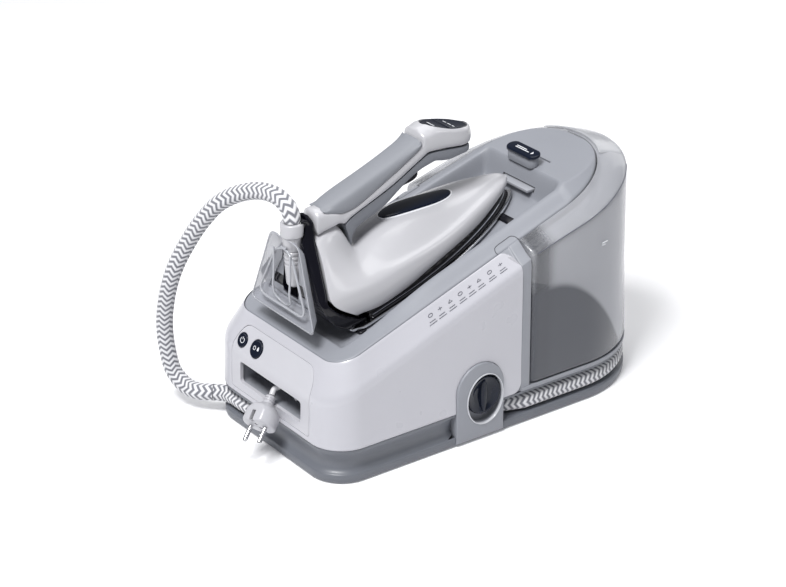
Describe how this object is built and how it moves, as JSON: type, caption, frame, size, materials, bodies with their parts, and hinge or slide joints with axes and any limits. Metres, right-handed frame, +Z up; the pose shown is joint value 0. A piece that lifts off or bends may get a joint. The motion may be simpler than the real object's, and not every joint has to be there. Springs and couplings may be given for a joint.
{
  "type": "steam generator iron",
  "caption": "Steam generator iron resting on its base station, with a rear water tank, lock slide, drain knob, stowed hose and mains plug.",
  "frame": {"origin": "centre of the station's footprint, on its underside", "axes": "+X to the right of the station as seen from its front panel, +Y towards the water tank at the rear, +Z up"},
  "size_m": [0.2752, 0.4875, 0.3136],
  "materials": {
    "base_plastic": "satin",
    "rubber_black": "matte",
    "screw_steel": "satin",
    "white_plastic": "gloss",
    "panel_grey": "satin",
    "navy_plastic": "gloss",
    "deck_grey": "satin",
    "smoke_clear": "gloss",
    "silicone": "matte",
    "lid_clear": "gloss",
    "boiler_steel": "satin",
    "brass_fitting": "satin",
    "black_plastic": "gloss",
    "board_green": "satin",
    "white_cable": "satin",
    "pin_metal": "polished",
    "hose_fabric": "woven",
    "sole_metal": "polished edge",
    "chamber_aluminium": "cast",
    "grip_soft": "soft-touch"
  },
  "bodies": {
    "station": {"base_plate": "base_plastic", "foot_1": "rubber_black", "foot_2": "rubber_black", "foot_3": "rubber_black", "foot_4": "rubber_black", "base_screw_1": "screw_steel", "base_screw_2": "screw_steel", "base_screw_3": "screw_steel", "base_screw_4": "screw_steel", "side_casing": "white_plastic", "front_panel": "white_plastic", "cord_bay": "panel_grey", "rear_frame": "panel_grey", "top_deck": "deck_grey", "drain_surround": "panel_grey", "rest_pad_front_left": "rubber_black", "rest_pad_front_right": "rubber_black", "rest_pad_rear_left": "rubber_black", "rest_pad_rear_right": "rubber_black", "boiler": "boiler_steel", "boiler_heater": "brass_fitting", "water_pump": "black_plastic", "steam_valve": "brass_fitting", "control_board": "board_green", "feed_tube": "silicone", "supply_tube": "silicone", "steam_tube": "silicone", "cord_coil": "white_cable", "hose_stowed": "hose_fabric"},
    "iron": {"soleplate": "sole_metal", "heat_shield": "black_plastic", "steam_chamber": "chamber_aluminium", "thermostat": "brass_fitting", "iron_shell": "white_plastic", "heel_frame": "black_plastic", "heel_stand": "smoke_clear", "handle_core": "white_plastic", "handle_grip": "grip_soft", "handle_underside": "panel_grey", "label_inlay": "navy_plastic", "hose_boot": "white_plastic", "hose_loop": "hose_fabric"},
    "steam_trigger": {"steam_trigger": "black_plastic"},
    "handle_rear_button": {"handle_rear_button": "navy_plastic"},
    "handle_front_button": {"handle_front_button": "navy_plastic"},
    "tank": {"water_tank": "smoke_clear", "tank_valve": "silicone"},
    "tank_lid": {"tank_lid": "lid_clear"},
    "power_button": {"power_button": "navy_plastic"},
    "mode_button": {"mode_button": "navy_plastic"},
    "lock": {"lock_button": "panel_grey", "lock_cap": "navy_plastic"},
    "lock_tongue": {"lock_tongue": "deck_grey"},
    "drain_knob": {"drain_knob": "navy_plastic"},
    "valve_plunger": {"valve_plunger": "screw_steel"},
    "plug": {"plug_body": "white_plastic", "plug_pin_left": "pin_metal", "plug_pin_right": "pin_metal", "cord_tail": "white_cable"}
  },
  "joints": [
    {"name": "iron_lift", "type": "slide", "parent": "station", "child": "iron", "axis": [0, 0, 1], "range_m": [0, 0.15]},
    {"name": "trigger_squeeze", "type": "hinge", "parent": "iron", "child": "steam_trigger", "pos_m": [0, -0.06956, 0.25698], "axis": [1, 0, 0], "range_deg": [0, 6], "stiffness_Nm_per_rad": 0.6},
    {"name": "rear_button_press", "type": "slide", "parent": "iron", "child": "handle_rear_button", "axis": [0, -0.194, -0.981], "range_m": [0, 0.0005], "stiffness_N_per_m": 400},
    {"name": "front_button_press", "type": "slide", "parent": "iron", "child": "handle_front_button", "axis": [0, -0.194, -0.981], "range_m": [0, 0.0005], "stiffness_N_per_m": 400},
    {"name": "tank_slide", "type": "slide", "parent": "station", "child": "tank", "axis": [0, 1, 0], "range_m": [0, 0.12]},
    {"name": "tank_lid_hinge", "type": "hinge", "parent": "tank", "child": "tank_lid", "pos_m": [0, 0.1714, 0.249], "axis": [1, 0, 0], "range_deg": [0, 70]},
    {"name": "power_press", "type": "slide", "parent": "station", "child": "power_button", "axis": [0, 0.8784, -0.4779], "range_m": [0, 0.0015], "stiffness_N_per_m": 300},
    {"name": "mode_press", "type": "slide", "parent": "station", "child": "mode_button", "axis": [0, 0.8784, -0.4779], "range_m": [0, 0.0015], "stiffness_N_per_m": 300},
    {"name": "lock_slide", "type": "slide", "parent": "station", "child": "lock", "axis": [1, 0, 0], "range_m": [0, 0.012]},
    {"name": "tongue_slide", "type": "slide", "parent": "station", "child": "lock_tongue", "axis": [0, -1, 0], "range_m": [0, 0.0085]},
    {"name": "drain_turn", "type": "hinge", "parent": "station", "child": "drain_knob", "pos_m": [0.1042, -0.031, 0.0493], "axis": [1, 0, 0], "range_deg": [0, 90]},
    {"name": "valve_lift", "type": "slide", "parent": "station", "child": "valve_plunger", "axis": [0, 0, 1], "range_m": [0, 0.002], "stiffness_N_per_m": 200},
    {"name": "plug_pull", "type": "slide", "parent": "station", "child": "plug", "axis": [0, -1, 0], "range_m": [0, 0.1]}
  ],
  "couplings": [
    {"joint": "tongue_slide", "follows": "lock_slide", "ratio": 0.66667}
  ]
}
